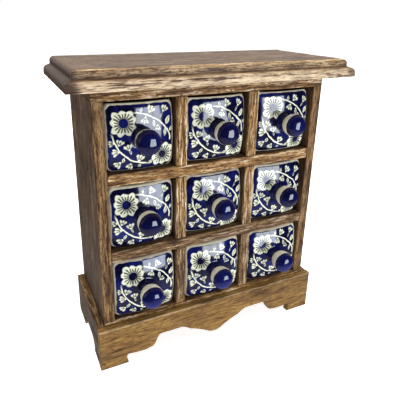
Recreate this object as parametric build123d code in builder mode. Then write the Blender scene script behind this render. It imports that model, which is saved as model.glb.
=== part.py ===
"""Table-top cabinet with a grid of sliding ceramic drawers in a wooden case.

Millimetres. +Z is up, the front faces -Y, and the origin is at floor level in the
middle of the space that the whole cabinet takes up, knobs included.
"""
import os
from math import sqrt

from build123d import *

# Drawer grid
opening_w = 60.0
opening_h = 60.0
upright_t = 9.5
level_t = 10.0
column_names = ("left", "middle", "right")
row_names = ("bottom", "middle", "top")

# Case
board_depth = 87.0
back_t = 3.0
housing_depth = 3.0
housing_stop = 8.0

# Plinth
plinth_h = 42.0
plinth_lap = 7.0
apron_t = 7.0
foot_w = 26.0
foot_rise = 9.7
lobe_run = 23.0
lobe_sag = 1.2
ogee_run = 10.0
arch_z = 21.5
arch_flat = 20.0
shoulder_x = 27.0
shoulder_z = 16.4
pendant_x = 9.0
pendant_z = 8.0
pendant_tip_z = 5.0
side_foot_front = 20.0
side_foot_back = 28.0
side_rise = 7.0
side_ogee_run = 9.0
side_arch_z = 13.5

# Top
top_t = 16.0
top_end_overhang = 21.0
top_front_overhang = 18.5
top_edge = 4.4
top_lower_round = 4.4
top_step = 1.4
top_upper_round = 4.0

# Drawers
side_gap = 1.0
head_gap = 2.2
run_gap = 0.3
back_gap = 4.0
drawer_wall = 4.0
drawer_floor = 4.5
front_t = 10.0
front_corner = 4.5
front_edge = 3.0
wall_drop = 5.0
inner_corner = 3.0
back_corner = 3.0
floor_round = 2.0
crown_r = 110.0
row_recess = {"bottom": -1.5, "middle": 1.0, "top": 1.0}

# Knobs
knob_foot_r = 9.0
knob_neck_r = 6.4
knob_neck_at = 4.6
knob_cup_r = 9.7
knob_cup_at = 11.0
knob_rim_r = 10.2
knob_shank = 17.0
dome_r = 9.7
dome_h = 7.0
spigot_r = 4.0
spigot_len = 3.9
spigot_gap = 0.05
seat_margin = 1.2

# Fasteners
pin_r = 0.8
apron_pin_len = 24.0
case_pin_len = 26.0
back_pin_len = 14.0
pin_inset = 20.0
apron_pin_inset = 6.0
apron_nail_inset = 30.0
screw_r = 1.6
screw_head_r = 3.2
screw_len = 20.0
screw_inset = 24.0

# Levels and planes that follow from the sizes above
columns = len(column_names)
rows = len(row_names)
pitch_x = opening_w + upright_t
pitch_z = opening_h + level_t
case_w = columns * opening_w + (columns + 1) * upright_t
case_depth = board_depth + back_t
bottom_z = plinth_h - plinth_lap
floor_z = bottom_z + level_t
ceiling_z = floor_z + rows * opening_h + (rows - 1) * level_t
case_top_z = ceiling_z + level_t
inside_w = case_w - 2 * upright_t
plinth_w = case_w + 2 * apron_t
knob_reach = knob_shank + dome_h - min(row_recess.values())
front_y = (knob_reach - case_depth) / 2
board_back_y = front_y + board_depth
back_y = front_y + case_depth
lap_y = front_y + board_depth / 2
drawer_len = board_depth - max(row_recess.values()) - back_gap
column_x = [(i - (columns - 1) / 2) * pitch_x for i in range(columns)]
divider_x = [(i - (columns - 2) / 2) * pitch_x for i in range(columns - 1)]
row_z = [floor_z + i * pitch_z for i in range(rows)]
shelf_z = [floor_z + opening_h + i * pitch_z for i in range(rows - 1)]

LOW = (Align.CENTER, Align.MIN, Align.MIN)
os.makedirs("parts", exist_ok=True)


def save(piece, name):
    """Name a finished piece and write it to its own file."""
    piece.part.label = name
    export_step(piece.part, f"parts/{name}.step")


# Fasteners come first, because each board is drilled to fit them.
apron_pin_z = (apron_pin_inset, plinth_h - apron_pin_inset)
apron_end_x = (plinth_w - apron_t) / 2
nail_line_z = bottom_z + plinth_lap / 2
nail_y = (front_y + apron_nail_inset, back_y - apron_nail_inset)
side_row_y = (front_y + pin_inset, back_y - pin_inset)
side_mid_x = (case_w - upright_t) / 2
screw_x = case_w / 2 - upright_t - screw_inset
screw_y = (front_y + screw_inset, board_back_y - screw_inset)

with BuildPart() as apron_pins:
    with BuildSketch(Plane.XZ.offset(apron_t - front_y)):
        with Locations(*[(s * apron_end_x, z) for s in (-1, 1) for z in apron_pin_z]):
            Circle(pin_r)
    extrude(amount=-apron_pin_len)
    for side in (-1, 1):
        with BuildSketch(Plane.YZ.offset(side * plinth_w / 2)):
            with Locations(*[(y, nail_line_z) for y in nail_y]):
                Circle(pin_r)
        extrude(amount=-side * apron_pin_len)

with BuildPart() as case_pins:
    end_points = [(s * side_mid_x, y) for s in (-1, 1) for y in side_row_y]
    with BuildSketch(Plane.XY.offset(case_top_z)):
        with Locations(*end_points):
            Circle(pin_r)
    extrude(amount=-case_pin_len)
    with BuildSketch(Plane.XY.offset(bottom_z)):
        with Locations(*end_points):
            Circle(pin_r)
    extrude(amount=case_pin_len)

with BuildPart() as back_pins:
    level_mids = [bottom_z + level_t / 2 + i * pitch_z for i in range(rows + 1)]
    with BuildSketch(Plane.XZ.offset(-back_y)):
        with Locations(*[(x, z) for x in (-pitch_x, pitch_x) for z in level_mids]):
            Circle(pin_r)
    extrude(amount=back_pin_len)

with BuildPart() as top_screws:
    screw_points = [(s * screw_x, y) for s in (-1, 1) for y in screw_y]
    with BuildSketch(Plane.XY.offset(ceiling_z)):
        with Locations(*screw_points):
            Circle(screw_head_r)
    extrude(amount=screw_head_r - screw_r, taper=45)
    with BuildSketch(Plane.XY.offset(ceiling_z)):
        with Locations(*screw_points):
            Circle(screw_r)
    extrude(amount=screw_len)

save(apron_pins, "apron_pins")
save(case_pins, "case_pins")
save(back_pins, "back_pins")
save(top_screws, "top_screws")

# Top board: the front moulding and the end mouldings cross at mitred corners.
top_inset = top_lower_round + top_step + top_upper_round
riser_z = case_top_z + top_edge + top_lower_round
shoulder_top_z = case_top_z + top_t - top_upper_round
top_w = case_w + 2 * top_end_overhang
top_front_y = front_y - top_front_overhang


def moulded_edge(outer, sign):
    """Draw the moulding from the underside to the top face; sign is the way it steps in."""
    round_x = outer + sign * top_lower_round
    step_x = round_x + sign * top_step
    top_x = step_x + sign * top_upper_round
    Line((outer, case_top_z), (outer, case_top_z + top_edge))
    arc_start = 180 if sign > 0 else 0
    CenterArc((round_x, case_top_z + top_edge), top_lower_round, arc_start, -sign * 90)
    Line((round_x, riser_z), (step_x, riser_z))
    Line((step_x, riser_z), (step_x, shoulder_top_z))
    CenterArc((top_x, shoulder_top_z), top_upper_round, arc_start, -sign * 90)


with BuildPart() as top_board:
    with BuildSketch(Plane.YZ.offset(-top_w / 2)):
        with BuildLine():
            moulded_edge(top_front_y, 1)
            Line((top_front_y + top_inset, case_top_z + top_t), (back_y, case_top_z + top_t))
            Line((back_y, case_top_z + top_t), (back_y, case_top_z))
            Line((back_y, case_top_z), (top_front_y, case_top_z))
        make_face()
    extrude(amount=top_w)
    with BuildSketch(Plane.XZ.offset(-back_y)):
        with BuildLine():
            moulded_edge(-top_w / 2, 1)
            Line((top_inset - top_w / 2, case_top_z + top_t), (top_w / 2 - top_inset, case_top_z + top_t))
            moulded_edge(top_w / 2, -1)
            Line((top_w / 2, case_top_z), (-top_w / 2, case_top_z))
        make_face()
    extrude(amount=back_y - top_front_y, mode=Mode.INTERSECT)
    add(top_screws.part, mode=Mode.SUBTRACT)
save(top_board, "top_board")

# Case boards
housing_len = board_depth - housing_stop
housing_y = front_y + housing_stop

with BuildPart() as carcass_top:
    with Locations((0, front_y, ceiling_z)):
        Box(case_w, board_depth, level_t, align=LOW)
    with Locations(*[(x, housing_y, ceiling_z) for x in divider_x]):
        Box(upright_t, housing_len, housing_depth, align=LOW, mode=Mode.SUBTRACT)
    for fastener in (case_pins, back_pins, top_screws):
        add(fastener.part, mode=Mode.SUBTRACT)
save(carcass_top, "carcass_top")

with BuildPart() as carcass_bottom:
    with Locations((0, front_y, bottom_z)):
        Box(case_w, board_depth, level_t, align=LOW)
    with Locations(*[(x, housing_y, floor_z - housing_depth) for x in divider_x]):
        Box(upright_t, housing_len, housing_depth, align=LOW, mode=Mode.SUBTRACT)
    for fastener in (case_pins, back_pins, apron_pins):
        add(fastener.part, mode=Mode.SUBTRACT)
save(carcass_bottom, "carcass_bottom")

for side_name, side in (("left_side", -1), ("right_side", 1)):
    housing_x = side * (inside_w + housing_depth) / 2
    with BuildPart() as case_side:
        with Locations((side * side_mid_x, front_y, floor_z)):
            Box(upright_t, board_depth, ceiling_z - floor_z, align=LOW)
        with Locations(*[(housing_x, housing_y, z) for z in shelf_z]):
            Box(housing_depth, housing_len, level_t, align=LOW, mode=Mode.SUBTRACT)
        add(case_pins.part, mode=Mode.SUBTRACT)
    save(case_side, side_name)

for shelf_name, z in zip(("lower_shelf", "upper_shelf"), shelf_z):
    with BuildPart() as shelf:
        with Locations((0, front_y, z)):
            Box(inside_w, board_depth, level_t, align=LOW)
        with Locations((0, housing_y, z)):
            Box(inside_w + 2 * housing_depth, housing_len, level_t, align=LOW)
        with Locations(*[(x, lap_y, z) for x in divider_x]):
            Box(upright_t, board_back_y - lap_y, level_t, align=LOW, mode=Mode.SUBTRACT)
        add(back_pins.part, mode=Mode.SUBTRACT)
    save(shelf, shelf_name)

for divider_name, x in zip(("left_divider", "right_divider"), divider_x):
    with BuildPart() as divider:
        with Locations((x, front_y, floor_z)):
            Box(upright_t, board_depth, ceiling_z - floor_z, align=LOW)
        with Locations((x, housing_y, floor_z - housing_depth)):
            Box(upright_t, housing_len, ceiling_z - floor_z + 2 * housing_depth, align=LOW)
        with Locations(*[(x, front_y, z) for z in shelf_z]):
            Box(upright_t, lap_y - front_y, level_t, align=LOW, mode=Mode.SUBTRACT)
    save(divider, divider_name)

with BuildPart() as back_panel:
    with Locations((0, board_back_y, bottom_z)):
        Box(case_w, back_t, case_top_z - bottom_z, align=LOW)
    add(back_pins.part, mode=Mode.SUBTRACT)
save(back_panel, "back_panel")

# Plinth: one half of the front apron's lower edge is drawn and mirrored.
foot_x = plinth_w / 2 - foot_w
ogee_x = foot_x - lobe_run
arch_outer_x = ogee_x - ogee_run
arch_inner_x = arch_outer_x - arch_flat
ogee_mid = ((ogee_x + arch_outer_x) / 2, (foot_rise + arch_z) / 2)

with BuildPart() as front_apron:
    with BuildSketch(Plane.XZ.offset(-front_y)):
        with BuildLine():
            Line((0, pendant_tip_z), (0, plinth_h))
            Line((0, plinth_h), (plinth_w / 2, plinth_h))
            Line((plinth_w / 2, plinth_h), (plinth_w / 2, 0))
            Line((plinth_w / 2, 0), (foot_x, 0))
            Line((foot_x, 0), (foot_x, foot_rise))
            lobe_mid = ((foot_x + ogee_x) / 2, foot_rise - lobe_sag)
            lobe = ThreePointArc((foot_x, foot_rise), lobe_mid, (ogee_x, foot_rise))
            Spline((ogee_x, foot_rise), ogee_mid, (arch_outer_x, arch_z), tangents=(lobe % 1, (-1, 0)))
            Line((arch_outer_x, arch_z), (arch_inner_x, arch_z))
            Spline((arch_inner_x, arch_z), (shoulder_x, shoulder_z), tangents=((-1, 0), (-1, -0.75)))
            Spline(
                (shoulder_x, shoulder_z),
                (pendant_x, pendant_z),
                (0, pendant_tip_z),
                tangents=((-1, -0.3), (-1, 0)),
            )
        make_face()
        mirror(about=Plane.YZ)
    extrude(amount=apron_t)
    add(apron_pins.part, mode=Mode.SUBTRACT)
save(front_apron, "front_apron")

for apron_name, side in (("left_apron", -1), ("right_apron", 1)):
    cut_front_y = front_y + side_foot_front
    cut_back_y = back_y - side_foot_back
    crest_front_y = cut_front_y + side_ogee_run
    crest_back_y = cut_back_y - side_ogee_run
    with BuildPart() as side_apron:
        with BuildSketch(Plane.YZ.offset(side * case_w / 2)):
            with BuildLine():
                Polyline(
                    (cut_front_y, side_rise),
                    (cut_front_y, 0),
                    (front_y, 0),
                    (front_y, plinth_h),
                    (back_y, plinth_h),
                    (back_y, 0),
                    (cut_back_y, 0),
                    (cut_back_y, side_rise),
                )
                Spline((cut_back_y, side_rise), (crest_back_y, side_arch_z), tangents=((-1, 0.2), (-1, 0)))
                Line((crest_back_y, side_arch_z), (crest_front_y, side_arch_z))
                Spline((crest_front_y, side_arch_z), (cut_front_y, side_rise), tangents=((-1, 0), (-1, -0.2)))
            make_face()
        extrude(amount=side * apron_t)
        add(apron_pins.part, mode=Mode.SUBTRACT)
    save(side_apron, apron_name)

# Ceramic drawers and their knobs
drawer_w = opening_w - 2 * side_gap
drawer_h = opening_h - run_gap - head_gap
wall_h = drawer_h - wall_drop
seat_r = knob_rim_r + seat_margin
rim_back = knob_shank - (knob_rim_r - dome_r)


def make_drawer(x, y, z):
    """Open-topped box whose front is a rounded slab, slightly crowned outside the knob's flat seat."""
    mid_z = z + drawer_h / 2
    with BuildPart() as drawer:
        with BuildSketch(Plane.XZ.offset(-y)):
            with Locations((x, mid_z)):
                RectangleRounded(drawer_w, drawer_h, front_corner)
        extrude(amount=-front_t)
        with Locations((x, y + sqrt(crown_r**2 - seat_r**2), mid_z)):
            Sphere(crown_r, mode=Mode.INTERSECT)
        crown = drawer.faces().filter_by(GeomType.SPHERE)[0]
        fillet(crown.outer_wire().edges(), front_edge)
        with BuildSketch(Plane.XZ.offset(-(y + drawer_len))):
            with Locations((x, z)):
                body = Rectangle(drawer_w, wall_h, align=(Align.CENTER, Align.MIN))
            fillet(body.vertices().group_by(Axis.Y)[0], front_corner)
        extrude(amount=drawer_len - front_t)
        back_edges = drawer.faces().sort_by(Axis.Y)[-1].edges()
        fillet(back_edges.sort_by(Axis.Z)[:-1], back_corner)
        with BuildSketch(Plane.XY.offset(z + drawer_floor)):
            with Locations((x, y + (front_t + drawer_len - drawer_wall) / 2)):
                RectangleRounded(drawer_w - 2 * drawer_wall, drawer_len - front_t - drawer_wall, inner_corner)
        extrude(amount=wall_h - drawer_floor, mode=Mode.SUBTRACT)
        cavity_floor = drawer.faces().filter_by_position(Axis.Z, z + drawer_floor, z + drawer_floor)
        fillet(cavity_floor.edges(), floor_round)
        with BuildSketch(Plane.XZ.offset(-y)):
            with Locations((x, mid_z)):
                Circle(spigot_r + spigot_gap)
        extrude(amount=-(spigot_len + spigot_gap), mode=Mode.SUBTRACT)
    return drawer


def make_knob(x, y, z):
    """Knob turned about the line that leaves the drawer front at (x, z)."""
    seat = Plane(origin=(x, y, z), x_dir=(1, 0, 0), z_dir=(0, 0, 1))
    with BuildPart() as knob:
        with BuildSketch(seat):
            with BuildLine():
                Polyline(
                    (0, -knob_shank - dome_h),
                    (0, spigot_len),
                    (spigot_r, spigot_len),
                    (spigot_r, 0),
                    (knob_foot_r, 0),
                )
                Spline(
                    (knob_foot_r, 0),
                    (knob_neck_r, -knob_neck_at),
                    (knob_cup_r, -knob_cup_at),
                    (knob_rim_r, -rim_back),
                    tangents=((-1, -0.6), (0, -1)),
                )
                TangentArc((knob_rim_r, -rim_back), (dome_r, -knob_shank), tangent=(0, -1))
                RadiusArc((dome_r, -knob_shank), (0, -knob_shank - dome_h), (dome_r**2 + dome_h**2) / (2 * dome_h))
            make_face()
        revolve(axis=Axis((x, y, z), (0, 1, 0)))
    return knob


for row_name, z in zip(row_names, row_z):
    drawer_y = front_y + row_recess[row_name]
    for column_name, x in zip(column_names, column_x):
        save(make_drawer(x, drawer_y, z + run_gap), f"drawer_{row_name}_{column_name}")
        save(make_knob(x, drawer_y, z + run_gap + drawer_h / 2), f"knob_{row_name}_{column_name}")
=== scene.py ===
"""Table-top cabinet with glazed drawers, laid out as a Blender add-on and run as a script."""

import math

import bmesh
import bpy
from mathutils import Matrix, Vector


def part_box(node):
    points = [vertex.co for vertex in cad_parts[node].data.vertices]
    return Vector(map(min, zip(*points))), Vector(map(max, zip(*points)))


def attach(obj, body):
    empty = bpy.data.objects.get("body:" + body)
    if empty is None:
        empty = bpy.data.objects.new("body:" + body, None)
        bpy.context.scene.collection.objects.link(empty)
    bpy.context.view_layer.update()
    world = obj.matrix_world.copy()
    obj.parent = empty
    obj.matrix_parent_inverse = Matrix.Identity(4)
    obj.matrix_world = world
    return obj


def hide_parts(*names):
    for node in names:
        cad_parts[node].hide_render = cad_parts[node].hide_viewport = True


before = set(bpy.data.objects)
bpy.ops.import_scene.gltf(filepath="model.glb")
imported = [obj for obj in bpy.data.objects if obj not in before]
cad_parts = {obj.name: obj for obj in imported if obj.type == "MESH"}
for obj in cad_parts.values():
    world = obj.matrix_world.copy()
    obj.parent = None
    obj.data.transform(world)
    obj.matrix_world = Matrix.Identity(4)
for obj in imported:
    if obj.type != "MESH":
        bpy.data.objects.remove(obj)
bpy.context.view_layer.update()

bl_info = {
    "name": "Drawer Cabinet",
    "version": (1, 0, 0),
    "blender": (4, 5, 0),
    "location": "View3D > Sidebar > Cabinet",
    "description": "Dresses a small wooden cabinet with glazed ceramic drawers",
    "category": "Object",
}

MM = 0.001
X, Y, Z = range(3)
COLUMNS = ("left", "middle", "right")
ROWS = ("bottom", "middle", "top")


def corners(node, unit=1.0):
    """Lowest and highest corner of a frame node, in metres or another unit."""
    return [Vector(corner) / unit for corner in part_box(node)]


# Places that the finishes go by, in millimetres.
TOP_LOW, TOP_HIGH = corners("top_board", MM)
PLINTH_LOW, PLINTH_HIGH = corners("front_apron", MM)
DRAWER_LOW, DRAWER_HIGH = corners("drawer_middle_middle", MM)
CASE_LOW, CASE_HIGH = corners("carcass_bottom", MM)
FRONT_Y = CASE_LOW.y
OPENING_LOW, OPENING_HIGH = CASE_HIGH.z, corners("carcass_top", MM)[0].z
INNER_X = corners("right_side", MM)[0].x
PITCH_X = corners("drawer_middle_right", MM)[0].x - DRAWER_LOW.x
PITCH_Z = corners("drawer_top_middle", MM)[0].z - DRAWER_LOW.z
FACE_Z = (DRAWER_LOW.z + DRAWER_HIGH.z) / 2
JOINT_LEVELS = [corner.z for node in ("lower_shelf", "upper_shelf") for corner in corners(node, MM)]
JOINT_LEVELS += [OPENING_LOW, OPENING_HIGH]


def metres(name, description, default):
    """Length property."""
    return bpy.props.FloatProperty(name=name, description=description, default=default, unit="LENGTH")


def tint(name, description, default):
    """Colour property with three channels."""
    return bpy.props.FloatVectorProperty(
        name=name, description=description, default=default, subtype="COLOR", size=3, min=0.0, max=1.0
    )


class CabinetSizes(bpy.types.PropertyGroup):
    """Sizes of the finishing work that the frame does not fix."""

    arris: metres("Worn arris", "Rounding of the long edges of the boards", 0.0007)
    back_arris: metres("Back arris", "Rounding of the edges of the back board", 0.0004)
    nail_stand: metres("Nail stand", "How far a nail end stands out of the worn face around it", 0.00015)
    planing: metres("Hand planing", "Unevenness of the hand-cut moulding", 0.0005)
    foot: metres("Front foot", "Width of a front foot of the plinth", 0.026)
    crown: metres("Crown radius", "Radius of the pillowed drawer fronts", 0.110)
    seat: metres("Knob seat", "Radius of the flat under a knob", 0.0114)
    edge: metres("Drawer edge", "Rounding around a drawer front", 0.0032)
    corner: metres("Drawer corner", "Corner radius of a drawer seen from the front", 0.0048)
    slab: metres("Drawer front", "Thickness of a drawer front", 0.010)
    wall: metres("Drawer wall", "Thickness of the ceramic walls", 0.004)
    base: metres("Drawer base", "Thickness of the bottom of a drawer", 0.0045)
    lip: metres("Wall lip", "Rounding of the upper edge of the ceramic walls", 0.0012)


class CabinetColours(bpy.types.PropertyGroup):
    """Colours of the wood, the steel, the glaze, the painted shade and reflection, the floor and the light.
    """

    honey: tint("Honey wood", "Worn, freshly rubbed wood", (0.38, 0.212, 0.074))
    straw: tint("Straw wood", "Palest streaks of the rubbed wood", (0.68, 0.50, 0.27))
    amber: tint("Amber wood", "Palest streaks of the plinth", (0.40, 0.25, 0.072))
    ochre: tint("Ochre wood", "Oiled wood of the plinth", (0.325, 0.182, 0.047))
    bleached: tint("Bleached wood", "Wood rubbed bare on the mouldings", (0.80, 0.68, 0.50))
    umber: tint("Umber wood", "Deeper streaks of the rubbed wood", (0.185, 0.095, 0.033))
    bark: tint("Bark streaks", "Dark pores and streaks", (0.048, 0.021, 0.010))
    ash: tint("Ash wood", "Palest streaks of the stained faces", (0.205, 0.145, 0.103))
    smoke: tint("Smoked wood", "Grey-brown stained faces", (0.098, 0.064, 0.043))
    soot: tint("Soot streaks", "Darkest streaks of the stained faces", (0.030, 0.019, 0.013))
    iron: tint("Iron", "Dull nails and screws", (0.11, 0.095, 0.08))
    rust: tint("Rust", "Rusty patches of the nails and screws", (0.07, 0.035, 0.018))
    cobalt: tint("Cobalt", "Blue glaze", (0.004, 0.009, 0.110))
    # Painted reflection: this brighter blue is the floor's light reflected on the lower half of the lowest
    # domes.
    floor_reflection_blue: tint("Royal blue", "Brighter blue glaze of the lowest knobs", (0.008, 0.014, 0.19))
    night: tint("Night blue", "Blue glaze where it pooled", (0.0015, 0.0015, 0.020))
    cream: tint("Cream", "Pale glaze of the boxes and cups", (0.78, 0.73, 0.57))
    celadon: tint("Celadon", "Greener patches of the pale glaze", (0.61, 0.58, 0.44))
    speck: tint("Speck", "Fine specks in the pale glaze", (0.27, 0.23, 0.13))
    # Painted shade: this near-black colour darkens the top of each drawer's slab and the upper edge of the
    # higher fronts, where the gaps above them are in shadow.
    clay_and_shadow: tint("Bare clay", "Fired clay where the glaze was wiped off", (0.020, 0.013, 0.010))
    petal: tint("Petal", "Painted flowers and vines", (0.80, 0.83, 0.67))
    wash: tint("Wash", "Thin places in the painting", (0.50, 0.54, 0.43))
    olive: tint("Olive", "Fine dark strokes in the painting", (0.035, 0.04, 0.028))
    floor: tint("Floor", "Pale studio floor", (0.84, 0.84, 0.835))
    chalk: tint("Chalk", "Paler patches of the floor", (0.86, 0.86, 0.855))
    glow: tint("Glow", "Light of the floor around the cabinet", (0.86, 0.86, 0.86))
    daylight: tint("Daylight", "Light of the window", (0.85, 0.92, 1.0))
    ambient: tint("Ambient", "Faint light from all round", (0.93, 0.96, 1.0))
    white: tint("White", "Backdrop and far floor", (1.0, 1.0, 1.0))


def sizes():
    return bpy.context.scene.cabinet_sizes


def colour(name):
    return (*getattr(bpy.context.scene.cabinet_colours, name), 1.0)


def both_ways(operation):
    """The plain and the reflected method of one operator."""

    def plain(self, other):
        return self.math(operation, self, other)

    def reflected(self, other):
        return self.math(operation, other, self)

    return plain, reflected


class Wire:
    """One value in a finish; sums on it add Math nodes."""

    def __init__(self, finish, socket):
        self.finish = finish
        self.socket = socket

    def math(self, operation, *values):
        return self.finish.add("ShaderNodeMath", {"operation": operation}, *values)

    __add__, __radd__ = both_ways("ADD")
    __sub__, __rsub__ = both_ways("SUBTRACT")
    __mul__, __rmul__ = both_ways("MULTIPLY")
    __truediv__, __rtruediv__ = both_ways("DIVIDE")

    def __abs__(self):
        return self.math("ABSOLUTE", self)

    def least(self, other):
        return self.math("MINIMUM", self, other)

    def most(self, other):
        return self.math("MAXIMUM", self, other)

    def round(self):
        return self.math("ROUND", self)

    def rise(self, start, end):
        """0 below start, 1 above end, smooth between; falls instead where start is above end."""
        span = (start, end, 0.0, 1.0) if start < end else (end, start, 1.0, 0.0)
        return self.finish.add("ShaderNodeMapRange", {"interpolation_type": "SMOOTHSTEP"}, self, *span)


class Finish:
    """A material or world in the making: its node tree and the one method that adds nodes to it."""

    # Places of the two colours and of their mixture among the sockets of a Mix node.
    MIX_FIRST, MIX_SECOND, MIX_RESULT = 6, 7, 2

    def __init__(self, owner):
        self.owner = owner
        owner.use_nodes = True
        self.tree = owner.node_tree
        self.tree.nodes.clear()

    def add(self, kind, settings=None, *values, out=0, **named):
        node = self.tree.nodes.new(kind)
        for key, value in (settings or {}).items():
            setattr(node, key, value)
        for index, value in enumerate(values):
            self.feed(node.inputs[index], value)
        for key, value in named.items():
            self.feed(node.inputs[key.replace("_", " ")], value)
        return Wire(self, node.outputs[out]) if node.outputs else None

    def feed(self, socket, value):
        """Link a value, or set a number or a named colour."""
        if isinstance(value, Wire):
            self.tree.links.new(value.socket, socket)
        else:
            socket.default_value = colour(value) if isinstance(value, str) else value

    def place(self):
        """Object coordinates in millimetres, as three values."""
        where = self.add("ShaderNodeTexCoord", out="Object")
        return self.split(self.add("ShaderNodeVectorMath", {"operation": "SCALE"}, where, Scale=1.0 / MM))

    def split(self, vector):
        node = self.add("ShaderNodeSeparateXYZ", None, vector).socket.node
        return [Wire(self, output) for output in node.outputs]

    def join(self, x, y, z):
        return self.add("ShaderNodeCombineXYZ", None, x, y, z)

    def length(self, vector):
        return self.add("ShaderNodeVectorMath", {"operation": "LENGTH"}, vector, out="Value")

    def noise(self, place, size=1.0, detail=2.0, rough=0.5, out=0):
        """Clouds of one size at a place given as three values."""
        look = {"Scale": 1.0 / size, "Detail": detail, "Roughness": rough}
        return self.add("ShaderNodeTexNoise", None, self.join(*place), out=out, **look)

    def ramp(self, value, *stops):
        """A run of named colours, each at its own value."""
        shade = self.add("ShaderNodeValToRGB", None, value)
        elements = shade.socket.node.color_ramp.elements
        while len(elements) < len(stops):
            elements.new(1.0)
        for element, (position, name) in zip(elements, stops):
            element.position = position
            element.color = colour(name)
        return shade

    def mix(self, factor, first, second):
        settings = {"data_type": "RGBA", "blend_type": "MIX"}
        node = self.add("ShaderNodeMix", settings, factor).socket.node
        self.feed(node.inputs[self.MIX_FIRST], first)
        self.feed(node.inputs[self.MIX_SECOND], second)
        return Wire(self, node.outputs[self.MIX_RESULT])

    def surface(self, shade, rough, bump=None, depth=0.0, strength=0.0, **fixed):
        """Close the tree with a Principled shader; fixed numbers go straight on its own sockets."""
        shader = self.add("ShaderNodeBsdfPrincipled", Base_Color=shade, Roughness=rough, **fixed)
        if bump is not None:
            normal = self.add("ShaderNodeBump", Strength=strength, Distance=depth, Height=bump)
            self.feed(shader.socket.node.inputs["Normal"], normal)
        self.add("ShaderNodeOutputMaterial", None, shader)
        return self.owner


def new_finish(name):
    """An empty finish and its three coordinates."""
    f = Finish(bpy.data.materials.new(name))
    return f, f.place()


# Figure of the wood in millimetres: run along the grain and width across it.
SWAY, PORE, BLOTCH = (80.0, 60.0), (4.0, 1.0), (34.0, 16.0)
BAND_RUN, FIBRE_RUN, SWAY_REACH = 110.0, 17.0, 9.0


def wood(
    name, grain, rubbed, dirt_and_shade=None, bare_and_highlight=None, *,
    seed, bands, fine, contrast, palest="straw", main="honey", sheen=0.12,
):
    """Oiled wood with its grain along one axis, and bands and fine fibres of the given widths.

    rubbed(x, y, z) says where the stain gives way to the main colour, by wear and in places by
    painted light and shade; the next function says where dirt and painted shade darken the wood,
    and the last where the wood is paled by wear and, on the plinth's ledge, by a painted highlight.
    """
    f, axes = new_finish(name)
    along = axes[grain]
    across, depth = (axes[axis] for axis in (X, Y, Z) if axis != grain)

    def streaks(side, run, width, shift=seed, detail=2.0, rough=0.6):
        return f.noise((along / run, side / width, depth / width + shift), detail=detail, rough=rough)

    sway = streaks(across, *SWAY, detail=1.0, rough=0.5)
    side = across + (sway - 0.5) * SWAY_REACH
    band = streaks(side, BAND_RUN, bands, detail=3.0)
    fibre = streaks(side, FIBRE_RUN, fine)
    pore = streaks(side, *PORE, detail=1.0, rough=0.5)
    blotch = streaks(across, *BLOTCH, shift=seed * 3.0)
    figure = (band * 0.4 + fibre * 0.6 - 0.5) * (0.88 * contrast) + 0.488
    fresh = f.ramp(figure, (0.38, "bark"), (0.445, "umber"), (0.51, main), (0.60, palest))
    stained = f.ramp(figure, (0.42, "soot"), (0.51, "smoke"), (0.585, "ash"))
    worn = (rubbed(*axes) + (blotch - 0.5) * 0.5).least(1.0).most(0.0)
    shade = f.mix(worn, stained, fresh)
    dash = pore.rise(0.51, 0.67) * (0.85 * contrast)
    if bare_and_highlight is not None:
        # Paled by wear, and on the plinth's ledge also by a painted highlight.
        bare = bare_and_highlight(*axes)
        shade = f.mix(bare * figure.rise(0.40, 0.52), shade, "bleached")
        dash = dash * (1.0 - bare)
    shade = f.mix(dash, shade, "bark")
    # Random dark blotches, joined by the dirt and painted shade that the darkening function gives.
    blotch_dirt_and_shade = blotch.rise(0.52, 0.28) * 0.35
    if dirt_and_shade is not None:
        blotch_dirt_and_shade = blotch_dirt_and_shade.most(dirt_and_shade(*axes))
    shade = f.mix(blotch_dirt_and_shade, shade, "bark")
    rough = 0.38 + fibre * 0.26
    bump = fibre * 0.6 - dash
    return f.surface(shade, rough, bump, depth=0.3 * MM, strength=0.6, Specular_IOR_Level=sheen)


# Wear, dirt and painted light and shade of the pieces, from 0 to 1, by distances in millimetres from their
# edges.
def moulded_front(x, y):
    """1 on the moulded front of the top, 0 on its flat and towards the left end."""
    front = y.rise(TOP_LOW.y + 10.2, TOP_LOW.y + 8.6)
    return front * x.rise(TOP_LOW.x + 2.0, TOP_LOW.x + 16.0)


def top_rubbed(x, y, z):
    """The moulded front is rubbed to honey, the flat top and the ends keep their stain."""
    bead = z.rise(TOP_LOW.z + 8.0, TOP_LOW.z + 9.5)
    crest = z.rise(TOP_HIGH.z - 2.2, TOP_HIGH.z - 0.6)
    return moulded_front(x, y) * (0.85 - bead * 0.35 + crest * 0.25) + crest * 0.2


def top_bleach(x, y, z):
    """The lower round is rubbed bare, the bead above it only in places."""
    lower = z.rise(TOP_LOW.z + 8.6, TOP_LOW.z + 6.5)
    return moulded_front(x, y) * (lower * 0.45 + 0.1)


def top_dirt_and_shade(x, y, z):
    """Dirt and painted shade darken the quirk between the two rounds, and painted shade darkens the moulded
    ends.
    """
    quirk = abs(z - (TOP_LOW.z + 9.0)).rise(1.2, 0.4)
    # Painted shade on both moulded ends.
    ends = abs(x).rise(TOP_HIGH.x - 13.0, TOP_HIGH.x - 5.0)
    below_flat = z.rise(TOP_HIGH.z - 0.3, TOP_HIGH.z - 1.5)
    return (quirk * 0.6).most(ends * below_flat * 0.72)


def side_rubbed(x, y, z):
    """Only the front edge of a side board is rubbed; its outer face stays dark."""
    return y.rise(FRONT_Y + 1.6, FRONT_Y + 0.5) * 0.42 + 0.08


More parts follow.
